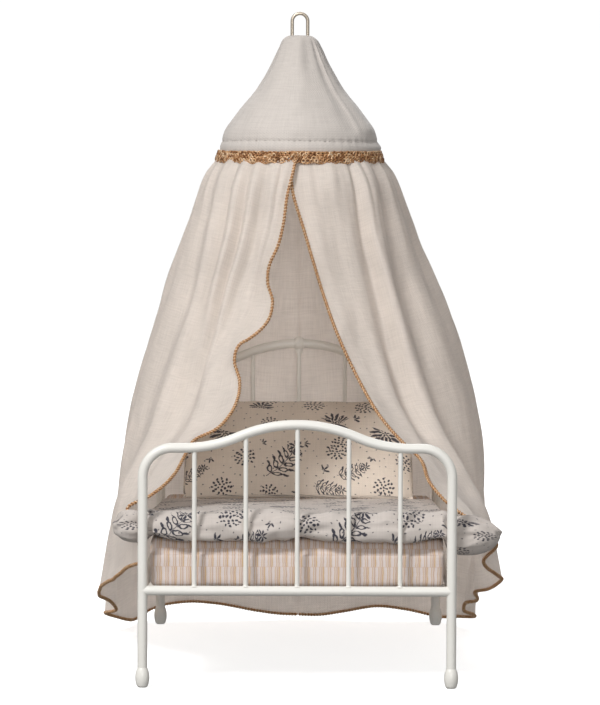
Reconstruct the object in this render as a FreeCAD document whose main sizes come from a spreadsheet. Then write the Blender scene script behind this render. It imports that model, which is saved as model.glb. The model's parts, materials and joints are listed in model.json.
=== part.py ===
import FreeCAD, Part
import math
import os

import Sketcher
from FreeCAD import Placement, Rotation, Vector

# A miniature metal bed with its bedding, under a round canopy with long curtains. Millimetres, +Z up.
# The footboard is towards -Y. The origin is on the floor, below the middle of the whole object.

DIMENSIONS = {
    # bed frame
    "tube_radius": 2.0,
    "bar_radius": 0.95,
    "bar_pitch": 20.8,
    "post_x": 62.5,
    "foot_end_y": -107.5,
    "head_end_y": 92.5,
    "rail_height": 39.4,
    "foot_end_shoulder": 97.3,
    "head_end_shoulder": 118.5,
    "corner_radius": 12.0,
    "shoulder_x": 46.0,
    "arch_rise": 9.5,
    "crown_radius": 60.0,
    # bun feet
    "foot_height": 8.0,
    "foot_base_radius": 1.7,
    "foot_rim_radius": 2.3,
    "foot_rim_height": 0.7,
    "foot_bulge_radius": 9.3,
    # cast knuckle on the headboard's arch
    "knuckle_radius": 2.8,
    "knuckle_half_height": 3.0,
    "collar_radius": 1.6,
    "collar_length": 4.6,
    # slats
    "slat_width": 9.0,
    "slat_thickness": 1.1,
    "slat_half_length": 60.5,
    "slat_inset": 16.0,
    # mattress
    "mattress_half_width": 59.5,
    "mattress_front_y": -104.5,
    "mattress_back_y": 89.5,
    "mattress_base": 40.0,
    "mattress_height": 19.9,
    "mattress_fillet": 2.0,
    "bedding_gap": 0.3,
    # quilt
    "quilt_half_width": 61.5,
    "quilt_base": 60.2,
    "roll_radius": 5.0,
    "roll_y": -98.4,
    "roll_back_y": -84.0,
    "roll_back_top": 66.5,
    "fold_y": 7.0,
    "fold_top": 64.6,
    "fold_gap": 0.6,
    "quilt_end_y": 37.6,
    "quilt_end_top": 62.2,
    # quilt corners that hang out beside the posts
    "left_lobe_radius": 6.6,
    "right_lobe_radius": 8.0,
    "lobe_root_x": 46.0,
    "lobe_y": -95.6,
    "lobe_z": 65.4,
    "left_lobe_length": 27.5,
    "left_lobe_droop": 0.0,
    "right_lobe_length": 37.2,
    "right_lobe_droop": 9.0,
    # pillow
    "pillow_width": 105.0,
    "pillow_length": 57.0,
    "pillow_edge": 1.0,
    "pillow_face_radius": 68.0,
    "pillow_y": 45.0,
    "pillow_z": 61.6,
    "pillow_lean": 42.0,
    # canopy top
    "canopy_y": 42.5,
    "cloth": 0.8,
    "hoop_radius": 32.4,
    "hoop_wire_radius": 0.9,
    "hoop_z": 218.2,
    "cone_rim_radius": 34.4,
    "cone_rim_z": 214.0,
    "cone_channel_z": 218.0,
    "cone_waist_radius": 29.5,
    "cone_waist_z": 229.3,
    "cone_top_radius": 5.6,
    "cone_top_z": 266.0,
    "cone_shoulder_curve": 20.0,
    "cone_side_curve": 136.0,
    "disc_radius": 5.2,
    "disc_thickness": 1.2,
    "disc_z": 262.5,
    "loop_leg_x": 3.4,
    "loop_wire_radius": 0.75,
    "loop_bend_z": 272.2,
    # lace band, with the curtain heading gathered below it
    "lace_inner_radius": 34.6,
    "lace_outer_radius": 35.8,
    "lace_base_z": 210.5,
    "lace_height": 5.0,
    "lace_knot_radius": 1.7,
    "heading_top_radius": 34.3,
    "heading_top_z": 213.8,
    "heading_bend_z": 210.4,
    "heading_hem_radius": 40.0,
    "heading_hem_z": 205.3,
    # curtains
    "gathers": 1.5,
    "edging_width": 1.5,
    "edging_gap": 0.2,
    "curtain_split_angle": 2.0,
}

# The curtains hang in ribs. A rib lies in an upright plane through the canopy's axis, at an angle from
# the back of the bed. Its points run from the heading to the hem, as (distance from the axis, height).
BACK_RIB = ((39.5, 205), (46.5, 185), (54, 155), (60, 126), (64, 90), (66.2, 50), (67.9, 5))
CORNER_RIB = ((40, 205), (50, 185), (66, 155), (83, 120), (89, 88), (91.5, 48), (93, 6))
SIDE_RIB = ((40, 205), (49, 183), (59, 152), (69, 126), (77, 92), (82, 52), (85, 14))
BACK_CORNER_ANGLE = 50
SIDE_ANGLE = 90
FRONT_RIBS = (
    (105, ((40, 205), (47, 183), (55, 152), (63, 126), (74, 93), (84, 58), (88, 21))),
    (120, ((40, 205), (46, 183), (51, 155), (58, 126), (72, 95), (88, 66), (93, 29))),
    (129, ((40, 205), (45.5, 183), (50, 155), (57, 126), (73, 96), (96, 67), (101, 35))),
    (137, ((40, 205), (45, 183), (49, 155), (56, 126), (74, 96), (108, 70), (113, 41))),
    (144, ((40, 205), (44.5, 183), (49, 153), (56.5, 124), (78, 96), (121, 72), (126, 46))),
    (150, ((40, 205), (44, 183), (49, 150), (57, 122), (82, 96), (132, 74), (139, 50))),
    (150.6, ((40, 205), (44, 184), (49, 153), (56, 126), (72, 101), (98, 86), (125, 77))),
    (152, ((40, 205), (44, 185), (48, 158), (53, 135), (62, 112), (80, 97), (108, 82))),
    (157, ((40, 205), (43, 190), (46, 172), (49, 155), (52, 142), (56, 129), (61, 118))),
    (164, ((40, 205), (41, 196), (42.5, 187), (43.5, 179), (44, 171), (44.5, 163), (45, 155))),
    (171, ((40, 205), (40.4, 202), (40.8, 199), (41.2, 196), (41.6, 193), (42, 190), (42.3, 187))),
    (177, ((40, 205), (40.1, 204), (40.2, 203), (40.3, 202), (40.4, 201), (40.5, 200), (40.6, 199))),
)

SLATS = 7
BARS = (-2, -1, 0, 1, 2)
UPRIGHT = Rotation()
ALONG_X = Rotation(Vector(0, 1, 0), 90)
ALONG_Y = Rotation(Vector(1, 0, 0), -90)

doc = FreeCAD.newDocument("miniature_bed")
sheet = doc.addObject("Spreadsheet::Sheet", "Sizes")
for row, (alias, number) in enumerate(DIMENSIONS.items(), start=1):
    sheet.set(f"A{row}", alias)
    sheet.set(f"B{row}", str(number))
    sheet.setAlias(f"B{row}", alias)
doc.recompute()

nodes = []


class Size:
    """A length worked out from the sheet: its value, and the formula that binds a property to it."""

    def __init__(self, formula, value):
        self.formula = formula
        self.value = float(value)

    def __add__(self, other):
        other = as_size(other)
        return Size(f"({self.formula} + {other.formula})", self.value + other.value)

    def __sub__(self, other):
        other = as_size(other)
        return Size(f"({self.formula} - {other.formula})", self.value - other.value)

    def __mul__(self, other):
        other = as_size(other)
        return Size(f"({self.formula} * {other.formula})", self.value * other.value)

    def __truediv__(self, other):
        other = as_size(other)
        return Size(f"({self.formula} / {other.formula})", self.value / other.value)

    def __neg__(self):
        return self * -1

    def squared(self):
        return self * self

    def root(self):
        return Size(f"sqrt({self.formula})", math.sqrt(self.value))


def as_size(number):
    return number if isinstance(number, Size) else Size(f"({number})", number)


def size(alias):
    return Size(f"Sizes.{alias}", getattr(sheet, alias))


def bind(item, sizes):
    for name, length in sizes.items():
        item.setExpression(name, as_size(length).formula)


def place(item, x=0, y=0, z=0, rotation=UPRIGHT):
    item.Placement = Placement(Vector(0, 0, 0), rotation)
    bind(item, {"Placement.Base.x": x, "Placement.Base.y": y, "Placement.Base.z": z})


def keep(item, name):
    """Names a finished piece and puts it on the list that is written out."""
    item.Label = name
    nodes.append(item)
    return item


# ---------------------------------------------------------------- sketches and solids


def new_body(name):
    return doc.addObject("PartDesign::Body", name)


def new_sketch(body, name, role, height=None):
    plane = next(f for f in body.Origin.OriginFeatures if f.Role == role)
    sketch = body.newObject("Sketcher::SketchObject", name)
    sketch.AttachmentSupport = (plane, [""])
    sketch.MapMode = "FlatFace"
    if height is not None:
        bind(sketch, {"AttachmentOffset.Base.z": height})
    return sketch


def pin(sketch, edge, end, corner):
    """Fixes one end of an edge at a pair of sizes."""
    for kind, axis, length in (("DistanceX", -2, corner[0]), ("DistanceY", -1, corner[1])):
        length = as_size(length)
        if length.value == 0:
            sketch.addConstraint(Sketcher.Constraint("PointOnObject", edge, end, axis))
        else:
            index = sketch.addConstraint(Sketcher.Constraint(kind, -1, 1, edge, end, length.value))
            bind(sketch, {f"Constraints[{index}]": length})


def arc_between(start, end, radius, side):
    """An arc from start to end, with its centre on the left (side 1) or on the right (side -1)."""
    half = (end - start) * 0.5
    reach = math.sqrt(max(radius**2 - half.Length**2, 0.0))
    across = Vector(-half.y, half.x, 0).normalize()
    centre = start + half + across * (side * reach)
    first, last = (start, end) if side > 0 else (end, start)
    first_angle = math.atan2(first.y - centre.y, first.x - centre.x)
    last_angle = math.atan2(last.y - centre.y, last.x - centre.x)
    if last_angle < first_angle:
        last_angle += 2 * math.pi
    return Part.ArcOfCircle(Part.Circle(centre, Vector(0, 0, 1), radius), first_angle, last_angle)


def draw(sketch, corners, arcs=None, closed=True):
    """Draws edges from corner to corner. arcs gives the (radius, side) of those that are round."""
    arcs = arcs or {}
    flat = [Vector(as_size(x).value, as_size(y).value, 0) for x, y in corners]
    edges = len(corners) if closed else len(corners) - 1
    ends = []
    for number in range(edges):
        start, end = flat[number], flat[(number + 1) % len(flat)]
        if number in arcs:
            radius, side = arcs[number]
            edge = sketch.addGeometry(arc_between(start, end, as_size(radius).value, side))
            ends.append((edge, 1, 2) if side > 0 else (edge, 2, 1))
            index = sketch.addConstraint(Sketcher.Constraint("Radius", edge, as_size(radius).value))
            bind(sketch, {f"Constraints[{index}]": radius})
        else:
            edge = sketch.addGeometry(Part.LineSegment(start, end))
            ends.append((edge, 1, 2))
    for number, (edge, start, end) in enumerate(ends):
        pin(sketch, edge, start, corners[number])
        following = ends[(number + 1) % edges]
        if closed or number < edges - 1:
            joint = Sketcher.Constraint("Coincident", edge, end, following[0], following[1])
            sketch.addConstraint(joint)
        else:
            pin(sketch, edge, end, corners[-1])


def draw_circle(sketch, centre, radius):
    circle = Part.Circle(Vector(as_size(centre[0]).value, as_size(centre[1]).value, 0),
                         Vector(0, 0, 1), radius.value)
    edge = sketch.addGeometry(circle)
    index = sketch.addConstraint(Sketcher.Constraint("Radius", edge, radius.value))
    bind(sketch, {f"Constraints[{index}]": radius})
    pin(sketch, edge, 3, centre)


def revolved(name, corners, arcs=None):
    """A body of revolution about its own Z axis, from a profile of (radius, height) corners."""
    body = new_body(name)
    profile = new_sketch(body, f"{name}_profile", "XZ_Plane")
    draw(profile, corners, arcs)
    turn = body.newObject("PartDesign::Revolution", f"{name}_turn")
    turn.Profile = profile
    turn.ReferenceAxis = (profile, ["V_Axis"])
    turn.Angle = 360
    return body


def padded_across(name, corners, half_width, arcs=None):
    """A body padded both ways along X, from a profile of (y, z) corners."""
    body = new_body(name)
    profile = new_sketch(body, f"{name}_profile", "YZ_Plane")
    draw(profile, corners, arcs)
    pad = body.newObject("PartDesign::Pad", f"{name}_pad")
    pad.Profile = profile
    pad.SideType = "Symmetric"
    bind(pad, {"Length": half_width * 2})
    return body


def bent_tube(name, corners, arcs, radius):
    """A round tube or wire bent along an open path in its own XZ plane."""
    body = new_body(name)
    path = new_sketch(body, f"{name}_path", "XZ_Plane")
    draw(path, corners, arcs, closed=False)
    start_x, start_z = corners[0]
    section = new_sketch(body, f"{name}_section", "XY_Plane", start_z)
    draw_circle(section, (start_x, 0), radius)
    doc.recompute()
    pipe = body.newObject("PartDesign::AdditivePipe", f"{name}_pipe")
    pipe.Profile = section
    pipe.Spine = (path, [""])
    return body


def cylinder(name, radius, height):
    item = doc.addObject("Part::Cylinder", name)
    bind(item, {"Radius": radius, "Height": height})
    return item


def ellipsoid(name, half_x, half_y, half_z):
    item = doc.addObject("Part::Ellipsoid", name)
    item.Angle1, item.Angle2, item.Angle3 = -90, 90, 360
    bind(item, {"Radius1": half_z, "Radius2": half_x, "Radius3": half_y})
    return item


def fused(name, shapes):
    item = doc.addObject("Part::MultiFuse", name)
    item.Shapes = shapes
    return item


def cut(name, base, tool):
    item = doc.addObject("Part::Cut", name)
    item.Base = base
    item.Tool = tool
    return item


# ---------------------------------------------------------------- welded bed frame


def concave_radius():
    """The radius of the hollow curves, from the arch's half width, its rise and the crown's radius."""
    run, rise = size("shoulder_x"), size("arch_rise")
    return (run.squared() + rise.squared()) / (rise * 2) - size("crown_radius")


def crown_junction():
    """How far from the middle the crown's curve turns into the hollow curve."""
    crown = size("crown_radius")
    return size("shoulder_x") * crown / (concave_radius() + crown)


def arch_height(x, shoulder):
    """Height of the top rail's centre line at a distance x from the middle, given as a size."""
    crown = size("crown_radius")
    if x.value <= crown_junction().value:
        return shoulder + size("arch_rise") - crown + (crown.squared() - x.squared()).root()
    hollow = concave_radius()
    past = size("shoulder_x") - x
    return shoulder + hollow - (hollow.squared() - past.squared()).root()


def end_frame(name, shoulder, end_y):
    """Two posts, two rounded corners and a camel-back top rail, bent from one tube."""
    post, corner, run = size("post_x"), size("corner_radius"), size("shoulder_x")
    junction, foot = crown_junction(), size("foot_height")
    junction_z = arch_height(junction, shoulder)
    corners = [
        (-post, foot),
        (-post, shoulder - corner),
        (corner - post, shoulder),
        (-run, shoulder),
        (-junction, junction_z),
        (junction, junction_z),
        (run, shoulder),
        (post - corner, shoulder),
        (post, shoulder - corner),
        (post, foot),
    ]
    hollow = concave_radius()
    arcs = {
        1: (corner, -1),
        3: (hollow, 1),
        4: (size("crown_radius"), -1),
        5: (hollow, 1),
        7: (corner, -1),
    }
    body = bent_tube(name, corners, arcs, size("tube_radius"))
    place(body, y=end_y)
    return keep(body, name)


def lower_rail(name, frame, end_y):
    """The straight rail between the posts, with its ends shaped to them."""
    rod = cylinder(f"{name}_rod", size("tube_radius"), size("post_x") * 2)
    place(rod, -size("post_x"), end_y, size("rail_height"), ALONG_X)
    return keep(cut(name, rod, frame), name)


def end_bars(prefix, shoulder, end_y, welds):
    """The bars between the lower rail and the arch, each shaped to both of them."""
    bars = []
    for number, step in enumerate(BARS, start=1):
        x = size("bar_pitch") * step
        top = arch_height(size("bar_pitch") * abs(step), shoulder)
        rod = cylinder(f"{prefix}_rod_{number}", size("bar_radius"), top - size("rail_height"))
        place(rod, x, end_y, size("rail_height"))
        name = f"{prefix}_bar_{number}"
        bars.append(keep(cut(name, rod, welds), name))
    return bars


def bed_end(prefix, shoulder, end_y):
    """One whole end of the bed. Returns its bars, and the solid that other pieces are shaped to."""
    frame = end_frame(f"{prefix}_frame", shoulder, end_y)
    rail = lower_rail(f"{prefix}_lower_rail", frame, end_y)
    welds = fused(f"{prefix}_welds", [frame, rail])
    return end_bars(prefix, shoulder, end_y, welds), welds


def feet():
    """Four bun feet: a flat base, a bulged side and a top as wide as the post."""
    height = size("foot_height")
    corners = [
        (0, 0),
        (size("foot_base_radius"), 0),
        (size("foot_rim_radius"), size("foot_rim_height")),
        (size("tube_radius"), height),
        (0, height),
    ]
    for end, end_y in (("front", size("foot_end_y")), ("back", size("head_end_y"))):
        for side, sign in (("left", -1), ("right", 1)):
            name = f"foot_{end}_{side}"
            foot = revolved(name, corners, {2: (size("foot_bulge_radius"), 1)})
            place(foot, size("post_x") * sign, end_y)
            keep(foot, name)


def side_rails(foot_welds, head_welds):
    for side, sign in (("left", -1), ("right", 1)):
        name = f"side_rail_{side}"
        span = size("head_end_y") - size("foot_end_y")
        rod = cylinder(f"{name}_rod", size("tube_radius"), span)
        place(rod, size("post_x") * sign, size("foot_end_y"), size("rail_height"), ALONG_Y)
        open_end = cut(f"{name}_open_end", rod, foot_welds)
        keep(cut(name, open_end, head_welds), name)


def slats():
    """Flat cross strips between the side rails, which carry the mattress."""
    first = size("foot_end_y") + size("slat_inset")
    last = size("head_end_y") - size("slat_inset")
    for number in range(SLATS):
        name = f"slat_{number + 1}"
        slat = doc.addObject("Part::Box", name)
        bind(slat, {
            "Length": size("slat_half_length") * 2,
            "Width": size("slat_width"),
            "Height": size("slat_thickness"),
        })
        middle = first + (last - first) * (number / (SLATS - 1))
        base = size("mattress_base") - size("slat_thickness")
        place(slat, -size("slat_half_length"), middle - size("slat_width") * 0.5, base)
        keep(slat, name)


def headboard_knuckle(middle_bar, head_welds):
    """The cast ball round the arch's middle, with a collar down the centre bar."""
    top = arch_height(as_size(0), size("head_end_shoulder"))
    ball = ellipsoid("knuckle_ball", size("knuckle_radius"), size("knuckle_radius"),
                     size("knuckle_half_height"))
    place(ball, 0, size("head_end_y"), top)
    collar = cylinder("knuckle_collar", size("collar_radius"), size("collar_length"))
    place(collar, 0, size("head_end_y"), top - size("collar_length"))
    solid = fused("knuckle_solid", [ball, collar])
    around = fused("knuckle_core", [middle_bar, head_welds])
    keep(cut("headboard_knuckle", solid, around), "headboard_knuckle")


# ---------------------------------------------------------------- bedding


def mattress():
    half, front, back = size("mattress_half_width"), size("mattress_front_y"), size("mattress_back_y")
    body = new_body("mattress")
    outline = new_sketch(body, "mattress_outline", "XY_Plane", size("mattress_base"))
    draw(outline, [(-half, front), (half, front), (half, back), (-half, back)])
    pad = body.newObject("PartDesign::Pad", "mattress_pad")
    pad.Profile = outline
    bind(pad, {"Length": size("mattress_height")})
    doc.recompute()
    rounding = body.newObject("PartDesign::Fillet", "mattress_rounding")
    rounding.Base = (pad, [f"Edge{number + 1}" for number in range(len(pad.Shape.Edges))])
    bind(rounding, {"Radius": size("mattress_fillet")})
    keep(body, "mattress")


def quilt_lobe(side, sign):
    """A round-ended corner of the quilt, lying outwards from inside the roll."""
    lobe_radius, length = size(f"{side}_lobe_radius"), size(f"{side}_lobe_length")
    corners = [(0, 0), (lobe_radius, 0), (lobe_radius, length - lobe_radius), (0, length)]
    lobe = revolved(f"{side}_lobe", corners, {2: (lobe_radius, 1)})
    outwards = (90 + size(f"{side}_lobe_droop").value) * sign
    place(lobe, size("lobe_root_x") * sign, size("lobe_y"), size("lobe_z"),
          Rotation(Vector(0, 1, 0), outwards))
    return lobe


def quilt_foot():
    """The quilt from its rolled front edge to the fold line, with its two hanging corners."""
    base, radius, roll_y = size("quilt_base"), size("roll_radius"), size("roll_y")
    corners = [
        (roll_y, base),
        (roll_y - radius, base + radius),
        (roll_y, base + radius * 2),
        (size("roll_back_y"), size("roll_back_top")),
        (size("fold_y"), size("fold_top")),
        (size("fold_y"), base),
    ]
    sheet_part = padded_across("quilt_sheet", corners, size("quilt_half_width"),
                               {0: (radius, -1), 1: (radius, -1)})
    lobes = [quilt_lobe("left", -1), quilt_lobe("right", 1)]
    gap = size("bedding_gap")
    space = doc.addObject("Part::Box", "mattress_space")
    bind(space, {
        "Length": (size("mattress_half_width") + gap) * 2,
        "Width": size("mattress_back_y") - size("mattress_front_y") + gap * 2,
        "Height": size("quilt_base") - size("mattress_base"),
    })
    place(space, -size("mattress_half_width") - gap, size("mattress_front_y") - gap,
          size("mattress_base"))
    whole = fused("quilt_foot_whole", [sheet_part, *lobes])
    keep(cut("quilt_foot", whole, space), "quilt_foot")


def quilt_head():
    """The quilt's turn-down, from the fold line to its end in front of the pillow."""
    base, fold_y = size("quilt_base"), size("fold_y") + size("fold_gap")
    end_y = size("quilt_end_y")
    corners = [
        (fold_y, base),
        (fold_y, size("fold_top")),
        (end_y, size("quilt_end_top")),
        (end_y, base),
    ]
    keep(padded_across("quilt_head", corners, size("quilt_half_width")), "quilt_head")


def pillow():
    """A lens-shaped pillow that leans on the headboard from its lower front edge."""
    length, edge, face = size("pillow_length"), size("pillow_edge"), size("pillow_face_radius")
    corners = [(0, -edge), (length, -edge), (length, edge), (0, edge)]
    body = padded_across("pillow", corners, size("pillow_width") * 0.5, {0: (face, 1), 2: (face, 1)})
    place(body, 0, size("pillow_y"), size("pillow_z"),
          Rotation(Vector(1, 0, 0), size("pillow_lean").value))
    keep(body, "pillow")


# ---------------------------------------------------------------- canopy


def on_axis(body, name):
    place(body, y=size("canopy_y"))
    return keep(body, name)


def canopy_hoop():
    hoop = doc.addObject("Part::Torus", "canopy_hoop")
    bind(hoop, {"Radius1": size("hoop_radius"), "Radius2": size("hoop_wire_radius")})
    place(hoop, 0, size("canopy_y"), size("hoop_z"))
    keep(hoop, "canopy_hoop")


def canopy_cone():
    """The fabric bell, with a straight channel for the hoop at its rim."""
    cloth = size("cloth")
    rim, rim_z, channel_z = size("cone_rim_radius"), size("cone_rim_z"), size("cone_channel_z")
    waist, waist_z = size("cone_waist_radius"), size("cone_waist_z")
    top, top_z = size("cone_top_radius"), size("cone_top_z")
    shoulder, side = size("cone_shoulder_curve"), size("cone_side_curve")
    corners = [
        (rim, rim_z),
        (rim, channel_z),
        (waist, waist_z),
        (top, top_z),
        (top - cloth, top_z),
        (waist - cloth, waist_z - cloth),
        (rim - cloth, channel_z),
        (rim - cloth, rim_z),
    ]
    arcs = {1: (shoulder, 1), 2: (side, -1), 4: (side, 1), 5: (shoulder, -1)}
    on_axis(revolved("canopy_cone", corners, arcs), "canopy_cone")


def canopy_top_disc():
    disc = cylinder("canopy_top_disc", size("disc_radius"), size("disc_thickness"))
    place(disc, 0, size("canopy_y"), size("disc_z"))
    keep(disc, "canopy_top_disc")


def hanging_loop():
    leg, bend_z = size("loop_leg_x"), size("loop_bend_z")
    foot_z = size("disc_z") + size("disc_thickness")
    corners = [(-leg, foot_z), (-leg, bend_z), (0, bend_z + leg), (leg, bend_z), (leg, foot_z)]
    loop = bent_tube("hanging_loop", corners, {1: (leg, -1), 2: (leg, -1)}, size("loop_wire_radius"))
    on_axis(loop, "hanging_loop")


def lace_band():
    inner, outer, base = size("lace_inner_radius"), size("lace_outer_radius"), size("lace_base_z")
    top = base + size("lace_height")
    on_axis(revolved("lace_band", [(inner, base), (outer, base), (outer, top), (inner, top)]),
            "lace_band")


def lace_knot():
    knot = doc.addObject("Part::Sphere", "lace_knot")
    bind(knot, {"Radius": size("lace_knot_radius")})
    reach = size("lace_outer_radius") + size("lace_knot_radius")
    place(knot, 0, size("canopy_y") - reach, size("lace_base_z") + size("lace_height") * 0.5)
    keep(knot, "lace_knot")


def curtain_heading():
    """The gathered top of the curtains, sewn inside the lace and flaring out below it."""
    gathers, top, top_z = size("gathers"), size("heading_top_radius"), size("heading_top_z")
    bend_z, hem, hem_z = size("heading_bend_z"), size("heading_hem_radius"), size("heading_hem_z")
    corners = [
        (top - gathers, top_z),
        (top - gathers, bend_z - gathers * 0.5),
        (hem - gathers, hem_z),
        (hem, hem_z),
        (top, bend_z),
        (top, top_z),
    ]
    on_axis(revolved("curtain_heading", corners), "curtain_heading")


# ---------------------------------------------------------------- curtains


def in_plane(angle, radius, height):
    """The point at a radius and height, in the upright plane at an angle from the back."""
    turn = math.radians(angle)
    return Vector(radius * math.sin(turn), radius * math.cos(turn), height)


def directions(points, number):
    """The way down a rib at one of its points, and the way in from it, as (radius, height) pairs."""
    before = points[max(number - 1, 0)]
    after = points[min(number + 1, len(points) - 1)]
    run, rise = after[0] - before[0], after[1] - before[1]
    length = math.hypot(run, rise)
    down = (run / length, rise / length)
    return down, (down[1], -down[0])


def rib_wire(angle, points, thickness):
    """The closed section of a gathered curtain along one rib."""
    inside = []
    for number, (radius, height) in enumerate(points):
        way_in = directions(points, number)[1]
        inside.append((radius + way_in[0] * thickness, height + way_in[1] * thickness))
    outer = [in_plane(angle, *point) for point in points]
    inner = [in_plane(angle, *point) for point in reversed(inside)]
    edges = []
    for curve_points, next_point in ((outer, inner[0]), (inner, outer[0])):
        curve = Part.BSplineCurve()
        curve.interpolate(curve_points)
        edges.append(curve.toShape())
        edges.append(Part.LineSegment(curve_points[-1], next_point).toShape())
    return Part.Wire(edges)


def edging_wire(angle, points, gap, width):
    """The square section of the cord that runs just beyond the end of a rib."""
    down, way_in = directions(points, len(points) - 1)
    corners = []
    for along, across in ((0, 0), (1, 0), (1, 1), (0, 1)):
        out = gap + along * width
        radius = points[-1][0] + down[0] * out + way_in[0] * across * width
        height = points[-1][1] + down[1] * out + way_in[1] * across * width
        corners.append(in_plane(angle, radius, height))
    return Part.makePolygon([*corners, corners[0]])


def hung_cloth(name, wires, ruled):
    """A solid through the given sections, hung on the canopy's axis."""
    cloth = doc.addObject("Part::Feature", name)
    cloth.Shape = Part.makeLoft(wires, True, ruled)
    place(cloth, y=size("canopy_y"))
    keep(cloth, name)


def curtains():
    thickness = size("gathers").value
    back_ribs = (
        (-SIDE_ANGLE, SIDE_RIB),
        (-BACK_CORNER_ANGLE, CORNER_RIB),
        (0, BACK_RIB),
        (BACK_CORNER_ANGLE, CORNER_RIB),
        (SIDE_ANGLE, SIDE_RIB),
    )
    back = [rib_wire(angle, rib, thickness) for angle, rib in back_ribs]
    hung_cloth("curtain_back", back, ruled=False)
    split = SIDE_ANGLE + size("curtain_split_angle").value
    front_ribs = ((split, SIDE_RIB), *FRONT_RIBS)
    gap, width = size("edging_gap").value, size("edging_width").value
    for side, sign in (("left", -1), ("right", 1)):
        ribs = [(angle * sign, rib) for angle, rib in front_ribs]
        curtain = [rib_wire(angle, rib, thickness) for angle, rib in ribs]
        edging = [edging_wire(angle, rib, gap, width) for angle, rib in ribs]
        hung_cloth(f"curtain_{side}", curtain, ruled=True)
        hung_cloth(f"edging_{side}", edging, ruled=True)


# ---------------------------------------------------------------- assembly


def build():
    foot_welds = bed_end("footboard", size("foot_end_shoulder"), size("foot_end_y"))[1]
    head_bars, head_welds = bed_end("headboard", size("head_end_shoulder"), size("head_end_y"))
    headboard_knuckle(head_bars[BARS.index(0)], head_welds)
    feet()
    side_rails(foot_welds, head_welds)
    slats()
    mattress()
    quilt_foot()
    quilt_head()
    pillow()
    canopy_hoop()
    canopy_cone()
    canopy_top_disc()
    hanging_loop()
    lace_band()
    lace_knot()
    curtain_heading()
    curtains()
    doc.recompute()


def check():
    for item in doc.Objects:
        if "Invalid" in item.State or "Error" in item.State:
            raise RuntimeError(f"{item.Name} failed: {item.State}")
    for item in nodes:
        if item.Shape.isNull() or not item.Shape.isValid():
            raise RuntimeError(f"{item.Label} has no valid shape")
        if len(item.Shape.Solids) != 1:
            raise RuntimeError(f"{item.Label} has {len(item.Shape.Solids)} solids, not one")


def write():
    os.makedirs("parts", exist_ok=True)
    for item in nodes:
        item.Shape.Solids[0].exportStep(f"parts/{item.Label}.step")
    whole = FreeCAD.BoundBox()
    for item in nodes:
        whole.add(item.Shape.BoundBox)
    print(f"{len(nodes)} nodes, middle at {whole.Center}, {whole}")


build()
check()
write()
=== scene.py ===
"""Looks of the miniature bed and its hanging canopy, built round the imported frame.

Lengths are in millimetres, and become metres where a mesh is made.
"""

import json
import math
from functools import partialmethod, reduce

import bmesh
import bpy
import numpy as np
from mathutils import Matrix, Vector, noise


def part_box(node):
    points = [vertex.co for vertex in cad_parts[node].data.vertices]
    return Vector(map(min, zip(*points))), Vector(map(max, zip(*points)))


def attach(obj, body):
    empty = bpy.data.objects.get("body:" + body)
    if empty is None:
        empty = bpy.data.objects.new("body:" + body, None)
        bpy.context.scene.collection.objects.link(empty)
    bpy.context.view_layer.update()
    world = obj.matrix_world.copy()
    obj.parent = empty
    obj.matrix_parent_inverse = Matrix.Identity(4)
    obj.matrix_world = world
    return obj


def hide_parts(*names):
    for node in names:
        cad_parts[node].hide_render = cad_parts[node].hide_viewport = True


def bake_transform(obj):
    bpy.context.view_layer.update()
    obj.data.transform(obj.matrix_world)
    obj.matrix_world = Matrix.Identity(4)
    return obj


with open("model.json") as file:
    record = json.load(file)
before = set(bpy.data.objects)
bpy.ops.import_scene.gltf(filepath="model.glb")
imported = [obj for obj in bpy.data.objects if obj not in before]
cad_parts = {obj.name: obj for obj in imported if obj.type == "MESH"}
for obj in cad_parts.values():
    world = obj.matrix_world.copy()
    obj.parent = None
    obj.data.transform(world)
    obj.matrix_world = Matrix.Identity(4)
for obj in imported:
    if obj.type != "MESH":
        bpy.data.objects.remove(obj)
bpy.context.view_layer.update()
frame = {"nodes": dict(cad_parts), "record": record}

MM = 0.001
TURN = 2 * math.pi
SHARP_FROM = math.radians(75)
scene = bpy.context.scene
chance = np.random.default_rng(7)


# ---- curves and surfaces


def through(knots, values, places):
    """Points of a smooth curve through values at knots, at each of places."""
    knots = np.asarray(knots, float)
    values = np.asarray(values, float)
    places = np.clip(places, knots[0], knots[-1])
    slopes = np.gradient(values, knots, axis=0)
    i = np.clip(np.searchsorted(knots, places, side="right") - 1, 0, len(knots) - 2)
    shape = (-1,) + (1,) * (values.ndim - 1)
    step = (knots[i + 1] - knots[i]).reshape(shape)
    t = ((places - knots[i]) / (knots[i + 1] - knots[i])).reshape(shape)
    start = (1 + 2 * t) * (1 - t) ** 2 * values[i] + t * (1 - t) ** 2 * step * slopes[i]
    finish = t * t * (3 - 2 * t) * values[i + 1] + t * t * (t - 1) * step * slopes[i + 1]
    return start + finish


def distances(path):
    """How far along a path each of its points lies."""
    steps = np.linalg.norm(np.diff(path, axis=0), axis=1)
    return np.concatenate(([0], np.cumsum(steps)))


def evenly(path, count):
    """The same path with count points, evenly spaced."""
    along = distances(path)
    places = np.linspace(0, along[-1], count)
    return np.stack([np.interp(places, along, path[:, k]) for k in range(path.shape[1])], 1)


def smooth_path(points, count):
    """count evenly spaced points of a smooth curve through a few points."""
    points = np.asarray(points, float)
    along = distances(points)
    return evenly(through(along, points, np.linspace(0, along[-1], 12 * len(points))), count)


def smooth_step(low, high, value):
    """0 up to low, 1 from high, and a smooth change between."""
    t = np.clip((value - low) / (high - low), 0, 1)
    return t * t * (3 - 2 * t)


def bump(value, centre, width):
    """A smooth hill of height 1."""
    return np.exp(-(((value - centre) / width) ** 2))


def unit(vectors):
    return vectors / np.maximum(np.linalg.norm(vectors, axis=-1, keepdims=True), 1e-9)


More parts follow.
